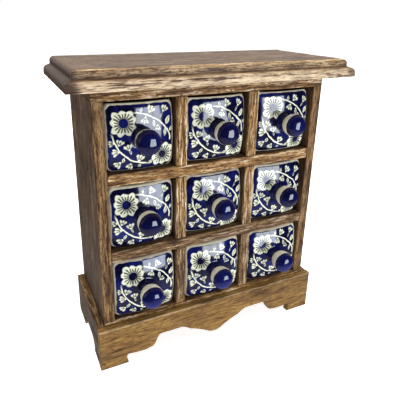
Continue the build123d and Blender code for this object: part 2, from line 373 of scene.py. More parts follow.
def inner_wear_light_and_shade(x, y, z):
    """Front edges are lighter, most of all high up and at the lowest board, which is lightened partly as
    painted light against the drawers' shadow; painted shade darkens the rail under the top, and the wood
    stays stained inside the case.
    """
    # Lighter high up, and at the lowest board partly as painted light against the shadow of the drawers.
    upper, lowest = z.rise(105.0, 160.0), z.rise(50.0, 44.0)
    # Painted shade: the rail under the top board is darkened as if in the top's shadow.
    top_board = z.rise(OPENING_HIGH - 1.0, OPENING_HIGH + 1.0)
    edge = upper * 0.56 + lowest * 0.62 + 0.24 - top_board * 0.4
    return y.rise(FRONT_Y + 2.5, FRONT_Y + 0.6) * edge + 0.2


def inside_shade(x, y, z):
    """Painted shade darkens the surfaces inside the case."""
    return y.rise(FRONT_Y + 1.0, FRONT_Y + 4.0) * 0.7


def joint_dark(distance):
    """The dark line along a joint."""
    return abs(distance).rise(1.0, 0.3) * 0.75


def rail_joints_and_shade(x, y, z):
    """Painted shade inside the case, with dark joints where the shelves meet the sides."""
    above = z.rise(OPENING_LOW - 0.2, OPENING_LOW + 0.2)
    below = z.rise(OPENING_HIGH + 0.2, OPENING_HIGH - 0.2)
    return inside_shade(x, y, z).most(joint_dark(abs(x) - INNER_X) * (above * below))


def stile_joints_and_shade(x, y, z):
    """Painted shade inside the case, with dark joints at the shelves and the case boards."""
    dirt_and_shade = inside_shade(x, y, z)
    for level in JOINT_LEVELS:
        dirt_and_shade = dirt_and_shade.most(joint_dark(z - level))
    return dirt_and_shade


def side_inner_shade(x, y, z):
    """Painted shade on the inner face of a side board only."""
    return inside_shade(x, y, z) * abs(x).rise(INNER_X + 0.5, INNER_X + 0.1)


def apron_rub_and_highlight(x, y, z):
    """The plinth's front is rubbed all over, and paler at its upper arris, as wear and as a painted
    highlight.
    """
    return z.rise(PLINTH_HIGH.z - 2.2, PLINTH_HIGH.z - 0.2) * 0.15 + 0.85


def apron_bare_and_highlight(x, y, z):
    """The front arris of the ledge is paled, worn through and with a painted highlight."""
    front = y.rise(PLINTH_LOW.y + 2.0, PLINTH_LOW.y + 0.9)
    return front * z.rise(PLINTH_HIGH.z - 1.6, PLINTH_HIGH.z - 0.5) * 0.28


def plinth_end_rubbed(x, y, z):
    """A plinth end is rubbed only at its upper arris."""
    return z.rise(PLINTH_HIGH.z - 1.6, PLINTH_HIGH.z - 0.2) * 0.55 + 0.1


def back_rubbed(x, y, z):
    """Unstained board, a little dirtier towards the floor."""
    return z.rise(30.0, 120.0) * 0.2 + 0.3


def steel(name):
    """Dull nail steel with a little rust."""
    f, place = new_finish(name)
    rust = f.noise(place, 0.7, detail=3.0)
    shade = f.mix(rust.rise(0.45, 0.65), "iron", "rust")
    return f.surface(shade, 0.45 + rust * 0.3, rust, depth=0.05 * MM, strength=0.3, Metallic=0.35)


def nearest(value, pitch):
    """Number of the nearest drawer, 0 for the middle one, and the distance from its middle."""
    number = (value / pitch).round()
    return number, value - number * pitch


def pale_glaze(f, cloud):
    """Cream that turns greener in patches, as a colour."""
    return f.mix(cloud.rise(0.35, 0.7), "cream", "celadon")


def blue_glaze(f, place, start, end):
    """Cobalt that pools darker in places, as a colour, and the clouds in it."""
    x, y, z = place
    cloud = f.noise(place, 9.0, detail=3.0, rough=0.6)
    pool = f.noise((x, y, z + 62.0), 31.0, detail=1.0)
    brush = f.noise((x / 2.2, y / 2.2, z / 7.0))
    thin = (cloud * 0.45 + pool * 0.35 + brush * 0.2).rise(start, end)
    return f.mix(thin, "night", "cobalt"), cloud


def cream_glaze(name):
    """Pale glaze with fine specks, and painted shade on the slab's upper face behind the front."""
    f, place = new_finish(name)
    _, y, z = place
    cloud = f.noise(place, 14.0, detail=3.0)
    specks = f.noise(place, 1.1).rise(0.66, 0.75)
    shade = f.mix(specks * 0.5, pale_glaze(f, cloud), "speck")
    _, height = nearest(z - FACE_Z, PITCH_Z)
    # Painted shade: the top of the slab behind the rounded front edge is darkened almost to black, as the
    # gap above it is in shadow.
    gap_shade = height.rise(28.2, 28.6) * y.rise(FRONT_Y + 2.6, FRONT_Y + 3.6)
    shade = f.mix(gap_shade * 0.9, shade, "clay_and_shadow")
    return f.surface(shade, 0.12 + cloud * 0.1, cloud, depth=0.3 * MM, strength=0.15, IOR=1.5)


# Painted sprig, in millimetres from the middle of a drawer front.
# Flowers: place, turn, reach, eye and petals.
FLOWERS = (((-13.4, 13.2), 0.2, 11.0, 4.0, 9), ((17.0, -18.0), 0.5, 10.4, 3.6, 9))
# Vines: centre, radius, half width, middle angle and half span in degrees.
VINES = (
    ((-10.9, -18.6), 39.9, 0.62, 56.5, 23.0),
    ((11.6, -3.5), 13.1, 0.6, 11.0, 24.0),
    ((8.7, 9.1), 32.7, 0.62, 224.5, 35.5),
)
# Leaves: place, direction in degrees, length and width.
LEAVES = (
    (2.2, 21.9, 77.0, 4.0, 2.2),
    (19.0, 15.4, 60.0, 4.4, 1.4),
    (23.8, 10.5, 58.0, 7.4, 4.0),
    (26.2, 2.9, 60.0, 3.8, 2.3),
    (11.5, 9.7, -84.0, 6.4, 2.3),
    (20.4, 1.0, -105.0, 6.6, 2.8),
    (-10.5, -11.4, 100.0, 4.2, 1.5),
    (-16.7, -17.2, 241.0, 4.6, 2.5),
    (-3.8, -24.2, 200.0, 3.4, 1.9),
    (6.4, -22.6, 25.0, 4.6, 2.6),
)
# Buds, each a small fan of three petals: place of the stem end, direction in degrees and length.
BUDS = (
    (7.7, 18.6, 48.0, 6.6),
    (20.4, 17.0, 56.0, 6.4),
    (5.1, 16.8, -110.0, 6.4),
    (14.6, 8.2, -96.0, 4.6),
    (-22.0, -1.7, 185.0, 5.0),
    (-19.6, -5.0, 62.0, 6.0),
    (-18.6, -9.4, 184.0, 6.8),
    (-10.9, -10.4, 102.0, 6.4),
    (-18.4, -18.6, 216.0, 6.2),
    (-10.0, -20.8, 240.0, 5.6),
    (-4.0, -20.8, 66.0, 6.6),
)
BUD_SPREAD = math.radians(40.0)
PETAL_LINE, LEAF_LINE = 0.74, 0.42  # half widths of the dark strokes
# How the hand wobbles, shifts and tilts the sprig, and the half sizes and corner of the border.
WOBBLE, SHIFT, TILT = 2.2, 1.4, 0.14
BORDER_U, BORDER_V, BORDER_CORNER, BORDER_WOBBLE = 27.2, 27.0, 5.5, 1.2


def seen_from(f, p, u, v, turn, scale=(1.0, 1.0)):
    """A point of the painting as seen from another one, turned and scaled."""
    frame_of = {"Location": (u, v, 0.0), "Rotation": (0.0, 0.0, turn), "Scale": (*scale, 1.0)}
    return f.add("ShaderNodeMapping", {"vector_type": "TEXTURE"}, p, **frame_of)


def polar(f, p, u, v, turn):
    """Distance and angle of a point about a centre, the angle counted from turn."""
    spot = seen_from(f, p, u, v, turn)
    x, y, _ = f.split(spot)
    return f.length(spot), x.math("ARCTAN2", y, x)


def painted_flowers(f, p):
    """The open flowers: where each is pale, and its dark strokes."""
    for centre, turn, most, eye, petals in FLOWERS:
        reach, angle = polar(f, p, *centre, turn)
        lobe = abs(reach.math("COSINE", angle * (petals / 2)))
        ridge = abs(reach.math("SINE", angle * (petals / 2)))
        square = reach.math("COSINE", (angle + turn) * 4.0) * (-0.08 * most)
        edge = reach / (lobe * (0.18 * most) + square + 0.83 * most)
        flower = edge.rise(1.03, 0.95) * reach.rise(eye - 0.2, eye + 0.25)
        seam = (reach * lobe * (2.0 / petals) / PETAL_LINE).rise(1.15, 0.75) * edge.rise(0.93, 0.84)
        vein = (reach * ridge * (2.0 / petals) / PETAL_LINE).rise(1.0, 0.6) * edge.rise(0.78, 0.70)
        yield flower, seam.most(vein) * reach.rise(eye - 0.1, eye + 0.3)


def painted_vines(f, p):
    """The vines: where each is pale. They have no strokes."""
    for centre, radius, half_width, middle, span in VINES:
        reach, angle = polar(f, p, *centre, math.radians(middle))
        line = (abs(reach - radius) / half_width).most(abs(angle) / math.radians(span))
        yield line.rise(1.15, 0.85), None


def painted_buds(f, p):
    """The buds: where each is pale, and the dark strokes between its petals."""
    for u, v, turn, long in BUDS:
        reach, angle = polar(f, p, u, v, math.radians(turn))
        lobe = abs(reach.math("COSINE", angle * (1.5 * math.pi / BUD_SPREAD)))
        fan = (reach / (lobe * (0.2 * long) + 0.8 * long)).most(abs(angle) / BUD_SPREAD)
        seam = (reach * lobe).rise(3.4, 2.0) * reach.rise(0.25 * long, 0.4 * long)
        yield fan.rise(1.06, 0.92), seam * reach.rise(0.92 * long, 0.80 * long) * fan.rise(0.95, 0.85)


def painted_leaves(f, p):
    """The leaves: where each is pale, and its dark rib."""
    for u, v, turn, long, wide in LEAVES:
        x, y, _ = f.split(seen_from(f, p, u, v, math.radians(turn), (long / 2, wide / 2)))
        rib = (abs(y) * (wide / 2 / LEAF_LINE)).most(abs(x - 0.1) * 1.5)
        yield (x * x + abs(y)).rise(1.08, 0.9), rib.rise(1.1, 0.8)


def painted_front(name):
    """Blue glaze with a flowering sprig, cream beyond the hand-drawn border, one sprig for each drawer."""
    f, place = new_finish(name)
    x, _, z = place
    column, u = nearest(x, PITCH_X)
    row, v = nearest(z - FACE_Z, PITCH_Z)
    number = f.join(column, row, 4.0)
    chance = f.add("ShaderNodeTexWhiteNoise", {"noise_dimensions": "3D"}, number, out="Color")
    shift_u, shift_v, tilt = (value - 0.5 for value in f.split(chance))
    hand = f.noise(place, 6.0, detail=1.0, out="Color")
    hand_u, hand_v = (value - 0.5 for value in f.split(hand)[:2])
    flat = f.join(u + hand_u * WOBBLE + shift_u * SHIFT, v + hand_v * WOBBLE + shift_v * SHIFT, 0.0)
    p = f.add("ShaderNodeVectorRotate", {"rotation_type": "Z_AXIS"}, flat, Angle=tilt * TILT)

    pale = strokes = None
    for paint in (painted_flowers, painted_vines, painted_buds, painted_leaves):
        for form, marks in paint(f, p):
            pale = form if pale is None else pale.most(form)
            if marks is not None:
                strokes = marks if strokes is None else strokes.most(marks)

    blue, cloud = blue_glaze(f, place, 0.44, 0.61)
    thin = f.noise(place, 3.0).rise(0.42, 0.70)
    ink = f.mix(thin * 0.45, "petal", "wash")
    shade = f.mix(strokes * 0.93, f.mix(pale, blue, ink), "olive")
    drawn_u = abs(u + hand_u * BORDER_WOBBLE - (shift_v - 0.2) * 1.4)
    drawn_v = abs(v + 0.5 + hand_v * BORDER_WOBBLE + shift_u)
    past_u = (drawn_u - (BORDER_U - BORDER_CORNER)).most(0.0)
    past_v = (drawn_v - (BORDER_V - BORDER_CORNER)).most(0.0)
    beyond = f.length(f.join(past_u, past_v, 0.0)).rise(BORDER_CORNER - 0.25, BORDER_CORNER + 0.35)
    shade = f.mix(beyond, shade, pale_glaze(f, cloud))
    # Painted shade: the upper edge of a front darkens towards the gap above it, fully in the top row, about
    # two thirds as much in the middle row and not in the bottom row.
    upper_edge_shade = v.rise(27.4, 28.0) * row.rise(-0.6, 0.4)
    shade = f.mix(upper_edge_shade, shade, "clay_and_shadow")
    return f.surface(shade, 0.05 + cloud * 0.05, cloud, depth=0.22 * MM, strength=0.16, IOR=1.52)


# Knob, in millimetres: rim of the cup behind the crest, start and end of the neck behind the rim,
# and how much deeper the top left knob was dipped.
KNOB_RIM, KNOB_NECK, DEEPER_DIP = 7.35, (9.4, 10.2), 3.0


def knob_glaze(name):
    """Cobalt dome and neck with a cream cup between them, and a painted reflection of the floor in brighter
    blue on the lowest domes.
    """
    f, place = new_finish(name)
    x, y, z = place
    column, _ = nearest(x, PITCH_X)
    row, height = nearest(z - FACE_Z, PITCH_Z)
    rim, low_rim = (corners(f"knob_{level}_middle", MM)[0].y + KNOB_RIM for level in ("middle", "bottom"))
    lowest = row.rise(-0.4, -0.6)
    top_left = column.rise(-0.6, -0.9) * row.rise(0.6, 0.9)
    run = f.noise((x / 2.5, y / 6.0, z / 2.5))
    reach = y + (run - 0.5) * 0.9 - (rim + lowest * (low_rim - rim)) - top_left * DEEPER_DIP
    dome = reach.rise(0.18, -0.18)
    blue, cloud = blue_glaze(f, place, 0.34, 0.86)
    # Painted reflection of the floor: brighter blue on the lowest domes, stronger towards their lower half.
    lit = height.rise(6.0, -8.0) * 0.4 + 0.12
    blue = f.mix(lowest * dome * lit, blue, "floor_reflection_blue")
    shade = f.mix(dome.most(reach.rise(*KNOB_NECK)), pale_glaze(f, cloud), blue)
    return f.surface(shade, 0.04 + cloud * 0.05, cloud, depth=0.2 * MM, strength=0.12, IOR=1.52)


TOUCH = 0.0001  # metres within which a point lies in a plane
CLEAR = 0.0005  # metres beyond which it is clear of one
MERGE = 0.00001  # metres within which two points become one
FACING = 0.9  # share of a normal along an axis that a face looks along
SHARP = 1.0  # radians between two faces that meet in an arris


def clear_selection():
    """Back to object mode with nothing selected."""
    if bpy.context.object is not None and bpy.context.object.mode != "OBJECT":
        bpy.ops.object.mode_set(mode="OBJECT")
    bpy.ops.object.select_all(action="DESELECT")


def apply_place():
    bpy.ops.object.transform_apply(location=True, rotation=True, scale=True)


def smooth(degrees):
    bpy.ops.object.shade_smooth_by_angle(angle=math.radians(degrees))


def block(name, low, high):
    """A cube primitive that fills a box, with its place in its mesh, left in edit mode."""
    clear_selection()
    low, high = Vector(low), Vector(high)
    bpy.ops.mesh.primitive_cube_add(size=1.0, location=(low + high) / 2)
    piece = bpy.context.object
    piece.name = piece.data.name = name
    bpy.ops.transform.resize(value=tuple(high - low))
    apply_place()
    bpy.ops.object.mode_set(mode="EDIT")
    return piece


def pick(piece, kind, test):
    """Select what passes the test among a piece's vertices, edges or faces."""
    bpy.ops.mesh.select_mode(type=kind)
    bpy.ops.mesh.select_all(action="DESELECT")
    net = bmesh.from_edit_mesh(piece.data)
    net.normal_update()
    for item in {"VERT": net.verts, "EDGE": net.edges, "FACE": net.faces}[kind]:
        if not item.hide and test(item):
            item.select_set(True)
    net.select_flush_mode()
    bmesh.update_edit_mesh(piece.data)


def round_edges(piece, radius, segments, test):
    """Bevel the edges that pass the test."""
    pick(piece, "EDGE", test)
    bpy.ops.mesh.bevel(offset=radius, segments=segments, affect="EDGES")


def middle_of(item):
    """Middle of an edge."""
    return (item.verts[0].co + item.verts[1].co) / 2


def runs_along(item, axis):
    """True for an edge that is parallel to an axis."""
    step = item.verts[1].co - item.verts[0].co
    return abs(step[axis]) > 0.999 * step.length


def arris_at(item, axis, value):
    """True for a sharp edge that lies in the plane across an axis."""
    level = all(abs(vert.co[axis] - value) < TOUCH for vert in item.verts)
    return level and item.calc_face_angle() > SHARP


def push_out(step):
    bpy.ops.mesh.extrude_region_move(TRANSFORM_OT_translate={"value": step})


def cut_at(axis, *values):
    """Cut the whole piece with planes across an axis."""
    for value in values:
        bpy.ops.mesh.select_all(action="SELECT")
        point, normal = Vector(), Vector()
        point[axis], normal[axis] = value, 1.0
        bpy.ops.mesh.bisect(plane_co=point, plane_no=normal)


def soften(piece, width, segments=3):
    """Round the arrises with an applied bevel and shade the piece."""
    bpy.ops.object.mode_set(mode="OBJECT")
    bpy.ops.object.modifier_add(type="BEVEL")
    bevel = piece.modifiers[-1]
    bevel.width = width
    bevel.segments = segments
    bevel.limit_method = "ANGLE"
    bevel.angle_limit = math.radians(40.0)
    bpy.ops.object.modifier_apply(modifier=bevel.name)
    smooth(32.0)


def outward():
    """Merge the active piece's doubles and turn every face outwards."""
    bpy.ops.object.mode_set(mode="EDIT")
    bpy.ops.mesh.select_all(action="SELECT")
    bpy.ops.mesh.remove_doubles(threshold=MERGE)
    bpy.ops.mesh.normals_make_consistent(inside=False)
    bpy.ops.object.mode_set(mode="OBJECT")


def settle(piece, body, node, slot, *finishes):
    """Give a finished piece its materials and its body, and hide the frame node it stands for."""
    clear_selection()
    piece.data.materials.clear()
    for finish in finishes:
        piece.data.materials.append(finish)
    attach(piece, body)
    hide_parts(node)


def set_copies(pattern, part, ending, slot, *finishes):
    """Set a copy of a pattern for each drawer, delete the pattern and return the copies by node."""
    start = corners(f"{part}_middle_middle")[0]
    copies = {}
    for row in ROWS:
        for column in COLUMNS:
            node = f"{part}_{row}_{column}"
            clear_selection()
            pattern.select_set(True)
            bpy.context.view_layer.objects.active = pattern
            bpy.ops.object.duplicate()
            piece = copies[node] = bpy.context.object
            piece.name = piece.data.name = f"{node}_{ending}"
            bpy.ops.transform.translate(value=tuple(corners(node)[0] - start))
            apply_place()
            settle(piece, f"{row}_{column}_drawer", node, slot, *finishes)
    clear_selection()
    pattern.select_set(True)
    bpy.ops.object.delete()
    return copies


class OBJECT_OT_cabinet_top(bpy.types.Operator):
    """Build the moulded top board"""

    bl_idname = "object.cabinet_top"
    bl_label = "Moulded top"

    # Moulding in metres: chamfer below, flat edge, lower round, step with its quirk, upper round.
    CHAMFER, EDGE, LOWER, STEP, QUIRK, UPPER = 0.0008, 0.0044, 0.0044, 0.0014, 0.0008, 0.0040
    WEAR, STROKE = 0.00004, 0.011  # metres worn off the flat and the back, and size of the plane's waves
    LONG, CUTS = 0.05, ((X, 90), (Y, 34))  # cuts for these waves in each edge over a length in metres

    def execute(self, context):
        low, high = corners("top_board")
        high -= Vector((0.0, self.WEAR, self.WEAR))
        piece = block("top_board_worn", low, (high.x, high.y, low.z + self.EDGE))
        self.mould(piece, low, high)

        def below(item):
            return middle_of(item).z < low.z + TOUCH and middle_of(item).y < high.y - CLEAR

        round_edges(piece, self.CHAMFER, 2, below)
        for axis, cuts in self.CUTS:
            pick(piece, "EDGE", lambda item: runs_along(item, axis) and item.calc_length() > self.LONG)
            bpy.ops.mesh.subdivide(number_cuts=cuts, quadcorner="STRAIGHT_CUT")
        pick(piece, "VERT", lambda vert: vert.co.y < high.y - CLEAR)
        bpy.ops.object.vertex_group_assign_new()
        outward()
        self.plane(piece)
        outward()
        smooth(40.0)
        finish = wood(
            "moulded_top_wood", X, top_rubbed, top_dirt_and_shade, top_bleach,
            seed=3.7, bands=5.0, fine=1.3, contrast=0.95, sheen=0.28,
        )
        settle(piece, "cabinet", "top_board", "top_wood", finish)
        return {"FINISHED"}

    def mould(self, piece, low, high):
        """Raise the moulding from the edge board, round by round; its back stays flat."""
        turns = [math.radians(angle) for angle in range(15, 91, 15)]

        def quarter(height, inset, radius):
            return [(height + radius * math.sin(a), inset + radius * (1.0 - math.cos(a))) for a in turns]

        set_in, start = self.LOWER + self.STEP, high.z - low.z - self.UPPER
        profile = quarter(self.EDGE, 0.0, self.LOWER)
        profile += [(self.EDGE + self.LOWER + self.QUIRK, set_in), (start, set_in)]
        profile += quarter(start, set_in, self.UPPER)
        pick(piece, "FACE", lambda face: face.normal.z > FACING)
        wide, deep = high.x - low.x, high.y - low.y
        height, inset = self.EDGE, 0.0
        for new_height, new_inset in profile:
            push_out((0.0, 0.0, new_height - height))
            ratio_x = (wide - 2.0 * new_inset) / (wide - 2.0 * inset)
            ratio_y = (deep - new_inset) / (deep - inset)
            bpy.ops.transform.resize(
                value=(ratio_x, ratio_y, 1.0), center_override=(0.0, high.y, low.z + new_height)
            )
            height, inset = new_height, new_inset

    def plane(self, piece):
        """Make all but the back uneven, inwards only."""
        waves = bpy.data.textures.new("hand_planing", "CLOUDS")
        waves.noise_scale = self.STROKE
        waves.noise_depth = 2
        bpy.ops.object.modifier_add(type="DISPLACE")
        uneven = piece.modifiers[-1]
        uneven.texture = waves
        uneven.texture_coords = "LOCAL"
        uneven.mid_level = 1.0
        uneven.strength = sizes().planing
        uneven.vertex_group = piece.vertex_groups[-1].name
        bpy.ops.object.modifier_apply(modifier=uneven.name)


class OBJECT_OT_cabinet_case(bpy.types.Operator):
    """Build the case boards, the shelves, the dividers and the back"""

    bl_idname = "object.cabinet_case"
    bl_label = "Case"

    def execute(self, context):
        inner = {"fine": 1.5, "contrast": 1.0, "palest": "bleached"}
        rail = wood("rail_wood", X, inner_wear_light_and_shade, rail_joints_and_shade, seed=1.3, bands=4.0, **inner)
        stile = wood("stile_wood", Z, inner_wear_light_and_shade, stile_joints_and_shade, seed=8.2, bands=3.6, **inner)
        end = wood(
            "end_board_wood", Z, side_rubbed, side_inner_shade,
            seed=5.1, bands=5.0, fine=1.9, contrast=0.95, palest="amber",
        )
        for node, slot, finish in (
            ("carcass_top", "case_wood", rail),
            ("carcass_bottom", "case_wood", rail),
            ("left_side", "side_wood", end),
            ("right_side", "side_wood", end),
        ):
            piece = block(f"{node}_board", *corners(node))
            soften(piece, sizes().arris)
            settle(piece, "cabinet", node, slot, finish)
        shelves, dividers = ("lower_shelf", "upper_shelf"), ("left_divider", "right_divider")
        sides = (corners("left_side")[1].x, corners("right_side")[0].x)
        boards = (corners("carcass_bottom")[1].z, corners("carcass_top")[0].z)
        for node in reversed(shelves):
            self.lapped_board(node, X, sides, dividers, True, rail)
        for node in dividers:
            self.lapped_board(node, Z, boards, shelves, False, stile)
        low, high = corners("back_panel")
        high.y -= sizes().nail_stand
        piece = block("back_panel_board", low, high)
        soften(piece, sizes().back_arris, 2)
        back = wood("back_wood", Z, back_rubbed, seed=12.4, bands=9.0, fine=2.0, contrast=0.8)
        settle(piece, "cabinet", "back_panel", "back_wood", back)
        return {"FINISHED"}

    def lapped_board(self, node, axis, ends, crossing, front_through, finish):
        """A board whose front or back half runs through; the other half is slotted for those that cross."""
        low, high = corners(node)
        low[axis], high[axis] = ends
        slots = [[corner[axis] for corner in corners(other)] for other in crossing]
        lap = (low.y + high.y) / 2
        start, end, far, way = (low.y, lap, high.y, 1.0) if front_through else (lap, high.y, low.y, -1.0)
        piece = block(f"{node}_board", (low.x, start, low.z), (high.x, end, high.z))
        for slot in slots:
            cut_at(axis, *slot)

        def between(face):
            spot = face.calc_center_median()[axis]
            return face.normal.y * way > FACING and not any(a < spot < b for a, b in slots)

        pick(piece, "FACE", between)
        push_out((0.0, far - lap, 0.0))
        soften(piece, sizes().arris)
        settle(piece, "cabinet", node, "case_wood", finish)


def outline_board(name, points, thick, arris):
    """A board cut to an outline: a flat curve with rounded arrises, made a mesh in the XY plane."""
    clear_selection()
    bpy.ops.curve.primitive_bezier_curve_add()
    piece = bpy.context.object
    piece.name = name
    curve = piece.data
    curve.dimensions = "2D"
    curve.fill_mode = "BOTH"
    curve.extrude = thick / 2 - arris
    curve.bevel_depth = arris
    curve.bevel_resolution = 2
    curve.offset = -arris
    curve.resolution_u = 10
    spline = curve.splines[0]
    spline.bezier_points.add(len(points) - 2)
    spline.use_cyclic_u = True
    for knot, (x, y, into, out_of) in zip(spline.bezier_points, points):
        knot.co = (x, y, 0.0)
        knot.handle_left_type = knot.handle_right_type = "FREE"
        knot.handle_left = (x + into[0], y + into[1], 0.0)
        knot.handle_right = (x + out_of[0], y + out_of[1], 0.0)
    bpy.ops.object.convert(target="MESH")
    piece = bpy.context.object
    piece.data.name = name
    return piece


def curved(x, y, lean=0.0, reach_in=0.0, reach_out=0.0):
    """A knot whose line passes at an angle, in degrees, with two handle lengths; a corner without them."""
    way = Vector((math.cos(math.radians(lean)), math.sin(math.radians(lean)))) * MM
    return x * MM, y * MM, way * -reach_in, way * reach_out


class OBJECT_OT_cabinet_plinth(bpy.types.Operator):
    """Build the three shaped aprons of the plinth"""

    bl_idname = "object.cabinet_plinth"
    bl_label = "Plinth"

    # Knots in millimetres: the front's lower edge from its middle to the right, then its cove, which
    # counts from the inner edge of the foot.
    LOWER_EDGE = (
        (0.0, 5.0, 0.0, 4.0, 4.0),
        (9.0, 8.0, 34.0, 3.5, 4.5),
        (27.0, 16.4, 17.0, 6.0, 0.0),
        (37.0, 21.5, 0.0, 4.0, 0.0),
        (57.0, 21.5, 0.0, 0.0, 2.6),
        (62.0, 15.6, -72.0, 2.6, 2.6),
        (67.0, 9.7, -14.0, 2.4, 6.0),
        (78.5, 8.5, 0.0, 5.0, 5.0),
    )
    COVE = ((-1.0, 9.6, 8.0, 5.0, 1.6), (1.4, 6.2, -90.0, 2.2, 2.2), (0.0, 0.0, -90.0, 2.4, 0.0))
    # Ends in millimetres: front and back foot, and the height of the cut at its ends and inside its run.
    END_FEET, END_LOW, END_HIGH, END_RUN = (20.0, 28.0), 7.0, 13.5, 9.0

    def execute(self, context):
        stand = sizes().nail_stand
        low, high = corners("front_apron")
        half, tall = PLINTH_HIGH.x, PLINTH_HIGH.z
        foot = half - sizes().foot / MM
        right = [curved(*knot) for knot in self.LOWER_EDGE]
        right += [curved(foot + x, *knot) for x, *knot in self.COVE]
        right += [curved(half, 0.0), curved(half, tall)]
        left = [(-x, y, (-o[0], o[1]), (-i[0], i[1])) for x, y, i, o in reversed(right)]
        thick = high.y - low.y - stand
        piece = outline_board("front_apron_board", right + left[:-1], thick, sizes().arris)
        bpy.ops.transform.rotate(value=-math.pi / 2, orient_axis="X", center_override=(0.0, 0.0, 0.0))
        bpy.ops.transform.translate(value=(0.0, (low.y + high.y + stand) / 2, 0.0))
        self.finish_board()
        front = wood(
            "apron_wood", X, apron_rub_and_highlight, bare_and_highlight=apron_bare_and_highlight,
            seed=2.6, bands=6.5, fine=1.15, contrast=0.68, palest="amber", main="ochre",
        )
        settle(piece, "cabinet", "front_apron", "plinth_wood", front)
        end = wood("plinth_end_wood", Y, plinth_end_rubbed, seed=9.4, bands=6.0, fine=1.5, contrast=1.0)
        for node, side in (("left_apron", -1.0), ("right_apron", 1.0)):
            self.end_apron(node, side, stand, end)
        return {"FINISHED"}

    def end_apron(self, node, side, stand, finish):
        """One plinth end, with a shallow cut between its two feet."""
        low, high = corners(node)
        near, far, tall = low.y / MM, high.y / MM, high.z / MM
        cut_near, cut_far = near + self.END_FEET[0], far - self.END_FEET[1]
        knots = (
            (near, tall),
            (near, 0.0),
            (cut_near, 0.0),
            (cut_near, self.END_LOW, 40.0, 0.0, 3.0),
            (cut_near + self.END_RUN, self.END_HIGH, 0.0, 5.0, 0.0),
            (cut_far - self.END_RUN, self.END_HIGH, 0.0, 0.0, 5.0),
            (cut_far, self.END_LOW, -40.0, 3.0, 0.0),
            (cut_far, 0.0),
            (far, 0.0),
            (far, tall),
        )
        outline = [curved(*knot) for knot in knots]
        piece = outline_board(f"{node}_board", outline, high.x - low.x - stand, sizes().arris)
        turn = Matrix.Rotation(math.pi / 2, 4, "Z") @ Matrix.Rotation(math.pi / 2, 4, "X")
        piece.matrix_world = Matrix.Translation(((low.x + high.x - side * stand) / 2, 0.0, 0.0)) @ turn
        self.finish_board()
        settle(piece, "cabinet", node, "plinth_wood", finish)

    def finish_board(self):
        apply_place()
        outward()
        smooth(30.0)


class OBJECT_OT_cabinet_fixings(bpy.types.Operator):
    """Finish the nails and screws that the frame already holds"""

    bl_idname = "object.cabinet_fixings"
    bl_label = "Nails and screws"

    def execute(self, context):
        finish = steel("nail_steel")
        for node in ("apron_pins", "case_pins", "back_pins", "top_screws"):
            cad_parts[node].data.materials.clear()
            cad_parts[node].data.materials.append(finish)
        return {"FINISHED"}


